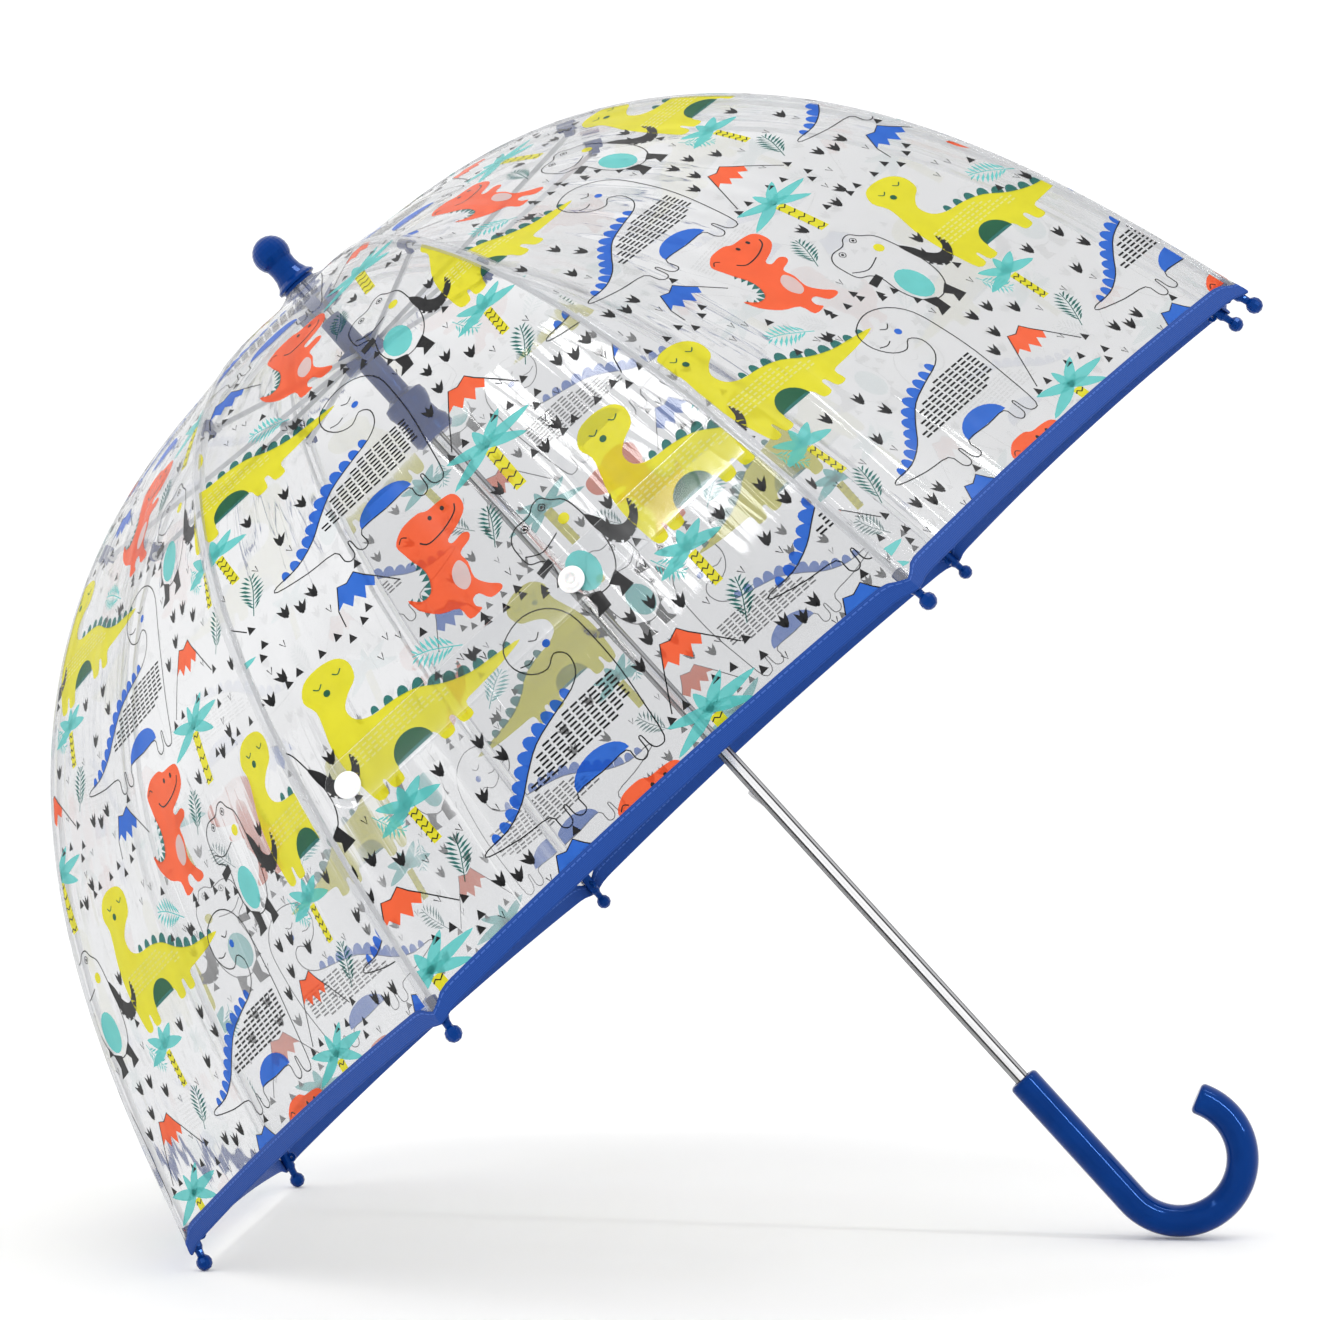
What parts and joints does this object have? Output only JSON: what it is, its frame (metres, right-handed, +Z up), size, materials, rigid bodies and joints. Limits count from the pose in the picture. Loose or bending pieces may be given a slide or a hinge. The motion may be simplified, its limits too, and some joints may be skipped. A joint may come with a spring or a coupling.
{
  "type": "children's dome umbrella",
  "caption": "Children's dome umbrella with a clear printed canopy on curved ribs, sliding runner with stretchers, spring catches, closing strap and crook handle.",
  "frame": {"origin": "middle of the underside of the part's box, on the floor it lies on, in the resting position", "axes": "+Z up from the floor; the shaft lies in the X-Z plane, its knob up to -X and its crook down to +X; +Y across the canopy, along its widest extent"},
  "size_m": [0.5802, 0.673, 0.5559],
  "materials": {
    "gloss_blue_plastic": "high gloss",
    "plated_steel": "bright plated",
    "painted_wire": "satin",
    "clear_film": "clear glossy film with a printed pattern",
    "white_snap": "gloss"
  },
  "bodies": {
    "stick": {"handle": "gloss_blue_plastic", "shaft": "plated_steel", "top_knob": "gloss_blue_plastic", "crown": "gloss_blue_plastic", "crown_wire": "painted_wire"},
    "runner": {"runner": "gloss_blue_plastic"},
    "rib_1": {"rib_1": "painted_wire", "rib_clip_1": "gloss_blue_plastic", "rib_tip_1": "gloss_blue_plastic"},
    "rib_2": {"rib_2": "painted_wire", "rib_clip_2": "gloss_blue_plastic", "rib_tip_2": "gloss_blue_plastic"},
    "rib_3": {"rib_3": "painted_wire", "rib_clip_3": "gloss_blue_plastic", "rib_tip_3": "gloss_blue_plastic"},
    "rib_4": {"rib_4": "painted_wire", "rib_clip_4": "gloss_blue_plastic", "rib_tip_4": "gloss_blue_plastic"},
    "rib_5": {"rib_5": "painted_wire", "rib_clip_5": "gloss_blue_plastic", "rib_tip_5": "gloss_blue_plastic"},
    "rib_6": {"rib_6": "painted_wire", "rib_clip_6": "gloss_blue_plastic", "rib_tip_6": "gloss_blue_plastic"},
    "rib_7": {"rib_7": "painted_wire", "rib_clip_7": "gloss_blue_plastic", "rib_tip_7": "gloss_blue_plastic"},
    "rib_8": {"rib_8": "painted_wire", "rib_clip_8": "gloss_blue_plastic", "rib_tip_8": "gloss_blue_plastic"},
    "stretcher_1": {"stretcher_1": "painted_wire"},
    "stretcher_2": {"stretcher_2": "painted_wire"},
    "stretcher_3": {"stretcher_3": "painted_wire"},
    "stretcher_4": {"stretcher_4": "painted_wire"},
    "stretcher_5": {"stretcher_5": "painted_wire"},
    "stretcher_6": {"stretcher_6": "painted_wire"},
    "stretcher_7": {"stretcher_7": "painted_wire"},
    "stretcher_8": {"stretcher_8": "painted_wire"},
    "panel_1a": {"canopy_panel_1a": "clear_film"},
    "panel_1b": {"canopy_panel_1b": "clear_film"},
    "panel_2a": {"canopy_panel_2a": "clear_film"},
    "panel_2b": {"canopy_panel_2b": "clear_film"},
    "panel_3a": {"canopy_panel_3a": "clear_film"},
    "panel_3b": {"canopy_panel_3b": "clear_film"},
    "panel_4a": {"canopy_panel_4a": "clear_film"},
    "panel_4b": {"canopy_panel_4b": "clear_film"},
    "panel_5a": {"canopy_panel_5a": "clear_film"},
    "panel_5b": {"canopy_panel_5b": "clear_film"},
    "panel_6a": {"canopy_panel_6a": "clear_film"},
    "panel_6b": {"canopy_panel_6b": "clear_film"},
    "panel_7a": {"canopy_panel_7a": "clear_film", "strap_base": "clear_film", "canopy_snap": "white_snap"},
    "panel_7b": {"canopy_panel_7b": "clear_film"},
    "panel_8a": {"canopy_panel_8a": "clear_film"},
    "panel_8b": {"canopy_panel_8b": "clear_film"},
    "strap": {"closure_strap": "clear_film", "strap_snap": "white_snap"},
    "upper_spring_catch": {"upper_spring_catch": "painted_wire"},
    "lower_spring_catch": {"lower_spring_catch": "painted_wire"}
  },
  "joints": [
    {"name": "runner_slide", "type": "slide", "parent": "stick", "child": "runner", "axis": [0.6756, 0, -0.7373], "range_m": [0, 0.23291]},
    {"name": "rib_1_swing", "type": "hinge", "parent": "stick", "child": "rib_1", "pos_m": [-0.16964, 0.00344, 0.46566], "axis": [-0.2821, 0.9239, -0.2585], "range_deg": [0, 47.61]},
    {"name": "rib_2_swing", "type": "hinge", "parent": "stick", "child": "rib_2", "pos_m": [-0.17323, 0.00831, 0.46237], "axis": [-0.6812, 0.3827, -0.6242], "range_deg": [0, 47.61]},
    {"name": "rib_3_swing", "type": "hinge", "parent": "stick", "child": "rib_3", "pos_m": [-0.17831, 0.00831, 0.45771], "axis": [-0.6812, -0.3827, -0.6242], "range_deg": [0, 47.61]},
    {"name": "rib_4_swing", "type": "hinge", "parent": "stick", "child": "rib_4", "pos_m": [-0.1819, 0.00344, 0.45442], "axis": [-0.2821, -0.9239, -0.2585], "range_deg": [0, 47.61]},
    {"name": "rib_5_swing", "type": "hinge", "parent": "stick", "child": "rib_5", "pos_m": [-0.1819, -0.00344, 0.45442], "axis": [0.2821, -0.9239, 0.2585], "range_deg": [0, 47.61]},
    {"name": "rib_6_swing", "type": "hinge", "parent": "stick", "child": "rib_6", "pos_m": [-0.17831, -0.00831, 0.45771], "axis": [0.6812, -0.3827, 0.6242], "range_deg": [0, 47.61]},
    {"name": "rib_7_swing", "type": "hinge", "parent": "stick", "child": "rib_7", "pos_m": [-0.17323, -0.00831, 0.46237], "axis": [0.6812, 0.3827, 0.6242], "range_deg": [0, 47.61]},
    {"name": "rib_8_swing", "type": "hinge", "parent": "stick", "child": "rib_8", "pos_m": [-0.16964, -0.00344, 0.46566], "axis": [0.2821, 0.9239, 0.2585], "range_deg": [0, 47.61]},
    {"name": "stretcher_1_swing", "type": "hinge", "parent": "runner", "child": "stretcher_1", "pos_m": [-0.14802, 0.00677, 0.44003], "axis": [0.2821, -0.9239, 0.2585], "range_deg": [0, 56.92]},
    {"name": "stretcher_2_swing", "type": "hinge", "parent": "runner", "child": "stretcher_2", "pos_m": [-0.15305, 0.00969, 0.43542], "axis": [0.6812, -0.3827, 0.6242], "range_deg": [0, 56.92]},
    {"name": "stretcher_3_swing", "type": "hinge", "parent": "runner", "child": "stretcher_3", "pos_m": [-0.15813, 0.00694, 0.43077], "axis": [0.6812, 0.3827, 0.6242], "range_deg": [0, 56.92]},
    {"name": "stretcher_4_swing", "type": "hinge", "parent": "runner", "child": "stretcher_4", "pos_m": [-0.16029, 0.00012, 0.42879], "axis": [0.2821, 0.9239, 0.2585], "range_deg": [0, 56.92]},
    {"name": "stretcher_5_swing", "type": "hinge", "parent": "runner", "child": "stretcher_5", "pos_m": [-0.15826, -0.00677, 0.43066], "axis": [-0.2821, 0.9239, -0.2585], "range_deg": [0, 56.92]},
    {"name": "stretcher_6_swing", "type": "hinge", "parent": "runner", "child": "stretcher_6", "pos_m": [-0.15323, -0.00969, 0.43526], "axis": [-0.6812, 0.3827, -0.6242], "range_deg": [0, 56.92]},
    {"name": "stretcher_7_swing", "type": "hinge", "parent": "runner", "child": "stretcher_7", "pos_m": [-0.14815, -0.00694, 0.43992], "axis": [-0.6812, -0.3827, -0.6242], "range_deg": [0, 56.92]},
    {"name": "stretcher_8_swing", "type": "hinge", "parent": "runner", "child": "stretcher_8", "pos_m": [-0.14599, -0.00012, 0.44189], "axis": [-0.2821, -0.9239, -0.2585], "range_deg": [0, 56.92]},
    {"name": "panel_1a_fold", "type": "hinge", "parent": "rib_1", "child": "panel_1a", "pos_m": [-0.06417, -0.19662, 0.6525], "axis": [0.8621, -0.1364, 0.4881], "range_deg": [0, 21.32], "deforming": ["canopy_panel_1a"]},
    {"name": "panel_1b_fold", "type": "hinge", "parent": "rib_1", "child": "panel_1b", "pos_m": [-0.21252, 0.28915, 0.51656], "axis": [-0.5825, -0.779, -0.2319], "range_deg": [0, 21.32], "deforming": ["canopy_panel_1b"]},
    {"name": "panel_2a_fold", "type": "hinge", "parent": "rib_2", "child": "panel_2a", "pos_m": [-0.00751, 0.01109, 0.70442], "axis": [0.7247, 0.5862, 0.3622], "range_deg": [0, 21.32], "deforming": ["canopy_panel_2a"]},
    {"name": "panel_2b_fold", "type": "hinge", "parent": "rib_2", "child": "panel_2b", "pos_m": [-0.36566, 0.2123, 0.37623], "axis": [-0.0498, -0.9653, 0.2562], "range_deg": [0, 21.32], "deforming": ["canopy_panel_2b"]},
    {"name": "panel_3a_fold", "type": "hinge", "parent": "rib_3", "child": "panel_3a", "pos_m": [-0.07573, 0.2123, 0.6419], "axis": [0.2509, 0.9653, -0.072], "range_deg": [0, 21.32], "deforming": ["canopy_panel_3a"]},
    {"name": "panel_3b_fold", "type": "hinge", "parent": "rib_3", "child": "panel_3b", "pos_m": [-0.43389, 0.01109, 0.31372], "axis": [0.424, -0.5862, 0.6904], "range_deg": [0, 21.32], "deforming": ["canopy_panel_3b"]},
    {"name": "panel_4a_fold", "type": "hinge", "parent": "rib_4", "child": "panel_4a", "pos_m": [-0.22887, 0.28915, 0.50158], "axis": [-0.2818, 0.779, -0.5601], "range_deg": [0, 21.32], "deforming": ["canopy_panel_4a"]},
    {"name": "panel_4b_fold", "type": "hinge", "parent": "rib_4", "child": "panel_4b", "pos_m": [-0.37723, -0.19662, 0.36564], "axis": [0.5614, 0.1364, 0.8162], "range_deg": [0, 21.32], "deforming": ["canopy_panel_4b"]},
    {"name": "panel_5a_fold", "type": "hinge", "parent": "rib_5", "child": "panel_5a", "pos_m": [-0.37723, 0.19662, 0.36564], "axis": [-0.5614, 0.1364, -0.8162], "range_deg": [0, 21.32], "deforming": ["canopy_panel_5a"]},
    {"name": "panel_5b_fold", "type": "hinge", "parent": "rib_5", "child": "panel_5b", "pos_m": [-0.22887, -0.28915, 0.50158], "axis": [0.2818, 0.779, 0.5601], "range_deg": [0, 21.32], "deforming": ["canopy_panel_5b"]},
    {"name": "panel_6a_fold", "type": "hinge", "parent": "rib_6", "child": "panel_6a", "pos_m": [-0.43389, -0.01109, 0.31372], "axis": [-0.424, -0.5862, -0.6904], "range_deg": [0, 21.32], "deforming": ["canopy_panel_6a"]},
    {"name": "panel_6b_fold", "type": "hinge", "parent": "rib_6", "child": "panel_6b", "pos_m": [-0.07573, -0.2123, 0.6419], "axis": [-0.2509, 0.9653, 0.072], "range_deg": [0, 21.32], "deforming": ["canopy_panel_6b"]},
    {"name": "panel_7a_fold", "type": "hinge", "parent": "rib_7", "child": "panel_7a", "pos_m": [-0.36566, -0.2123, 0.37623], "axis": [0.0498, -0.9653, -0.2562], "range_deg": [0, 21.32], "deforming": ["canopy_panel_7a"]},
    {"name": "panel_7b_fold", "type": "hinge", "parent": "rib_7", "child": "panel_7b", "pos_m": [-0.00751, -0.01109, 0.70442], "axis": [-0.7247, 0.5862, -0.3622], "range_deg": [0, 21.32], "deforming": ["canopy_panel_7b"]},
    {"name": "panel_8a_fold", "type": "hinge", "parent": "rib_8", "child": "panel_8a", "pos_m": [-0.21252, -0.28915, 0.51656], "axis": [0.5825, -0.779, 0.2319], "range_deg": [0, 21.32], "deforming": ["canopy_panel_8a"]},
    {"name": "panel_8b_fold", "type": "hinge", "parent": "rib_8", "child": "panel_8b", "pos_m": [-0.06417, 0.19662, 0.6525], "axis": [-0.8621, -0.1364, -0.4881], "range_deg": [0, 21.32], "deforming": ["canopy_panel_8b"]},
    {"name": "strap_swing", "type": "hinge", "parent": "panel_7a", "child": "strap", "pos_m": [-0.03856, -0.30315, 0.31029], "axis": [-0.63, 0.3613, 0.6875], "range_deg": [0, 75]},
    {"name": "upper_catch_press", "type": "slide", "parent": "stick", "child": "upper_spring_catch", "axis": [0.7373, 0, 0.6756], "range_m": [0, 0.0016], "stiffness_N_per_m": 300},
    {"name": "lower_catch_press", "type": "slide", "parent": "stick", "child": "lower_spring_catch", "axis": [0.7373, 0, 0.6756], "range_m": [0, 0.0016], "stiffness_N_per_m": 300}
  ],
  "couplings": [
    {"joint": "rib_1_swing", "follows": "runner_slide", "rad_per_m": 3.5666},
    {"joint": "rib_2_swing", "follows": "runner_slide", "rad_per_m": 3.5666},
    {"joint": "rib_3_swing", "follows": "runner_slide", "rad_per_m": 3.5666},
    {"joint": "rib_4_swing", "follows": "runner_slide", "rad_per_m": 3.5666},
    {"joint": "rib_5_swing", "follows": "runner_slide", "rad_per_m": 3.5666},
    {"joint": "rib_6_swing", "follows": "runner_slide", "rad_per_m": 3.5666},
    {"joint": "rib_7_swing", "follows": "runner_slide", "rad_per_m": 3.5666},
    {"joint": "rib_8_swing", "follows": "runner_slide", "rad_per_m": 3.5666},
    {"joint": "stretcher_1_swing", "follows": "runner_slide", "rad_per_m": 4.2647},
    {"joint": "stretcher_2_swing", "follows": "runner_slide", "rad_per_m": 4.2647},
    {"joint": "stretcher_3_swing", "follows": "runner_slide", "rad_per_m": 4.2647},
    {"joint": "stretcher_4_swing", "follows": "runner_slide", "rad_per_m": 4.2647},
    {"joint": "stretcher_5_swing", "follows": "runner_slide", "rad_per_m": 4.2647},
    {"joint": "stretcher_6_swing", "follows": "runner_slide", "rad_per_m": 4.2647},
    {"joint": "stretcher_7_swing", "follows": "runner_slide", "rad_per_m": 4.2647},
    {"joint": "stretcher_8_swing", "follows": "runner_slide", "rad_per_m": 4.2647},
    {"joint": "panel_1a_fold", "follows": "runner_slide", "rad_per_m": 1.5969},
    {"joint": "panel_1b_fold", "follows": "runner_slide", "rad_per_m": 1.5969},
    {"joint": "panel_2a_fold", "follows": "runner_slide", "rad_per_m": 1.5969},
    {"joint": "panel_2b_fold", "follows": "runner_slide", "rad_per_m": 1.5969},
    {"joint": "panel_3a_fold", "follows": "runner_slide", "rad_per_m": 1.5969},
    {"joint": "panel_3b_fold", "follows": "runner_slide", "rad_per_m": 1.5969},
    {"joint": "panel_4a_fold", "follows": "runner_slide", "rad_per_m": 1.5969},
    {"joint": "panel_4b_fold", "follows": "runner_slide", "rad_per_m": 1.5969},
    {"joint": "panel_5a_fold", "follows": "runner_slide", "rad_per_m": 1.5969},
    {"joint": "panel_5b_fold", "follows": "runner_slide", "rad_per_m": 1.5969},
    {"joint": "panel_6a_fold", "follows": "runner_slide", "rad_per_m": 1.5969},
    {"joint": "panel_6b_fold", "follows": "runner_slide", "rad_per_m": 1.5969},
    {"joint": "panel_7a_fold", "follows": "runner_slide", "rad_per_m": 1.5969},
    {"joint": "panel_7b_fold", "follows": "runner_slide", "rad_per_m": 1.5969},
    {"joint": "panel_8a_fold", "follows": "runner_slide", "rad_per_m": 1.5969},
    {"joint": "panel_8b_fold", "follows": "runner_slide", "rad_per_m": 1.5969}
  ]
}
